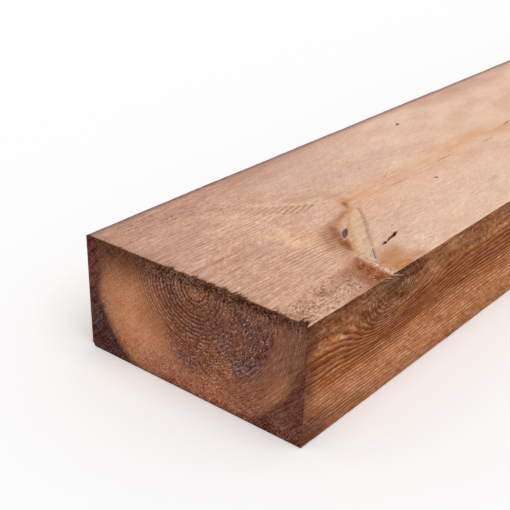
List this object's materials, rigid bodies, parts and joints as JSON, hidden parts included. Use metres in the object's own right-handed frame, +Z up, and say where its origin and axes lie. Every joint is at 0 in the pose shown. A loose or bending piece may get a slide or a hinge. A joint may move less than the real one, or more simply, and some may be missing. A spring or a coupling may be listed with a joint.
{
  "type": "railway sleeper",
  "caption": "Sawn, brown-treated softwood railway sleeper for landscaping: a rectangular beam with square-cut ends, lightly eased edges and a spike knot in the top face near one end.",
  "frame": {"origin": "middle of the underside: half way along the length and across the width, on the plane the sleeper lies on", "axes": "+X along the length, away from the end with the spike knot; +Y across the width, to the left of someone facing that end; +Z up"},
  "size_m": [2.4, 0.195, 0.09],
  "materials": {
    "treated_timber": "sawn softwood with a brown preservative, matt"
  },
  "bodies": {
    "root": {"sleeper": "treated_timber"}
  },
  "joints": []
}
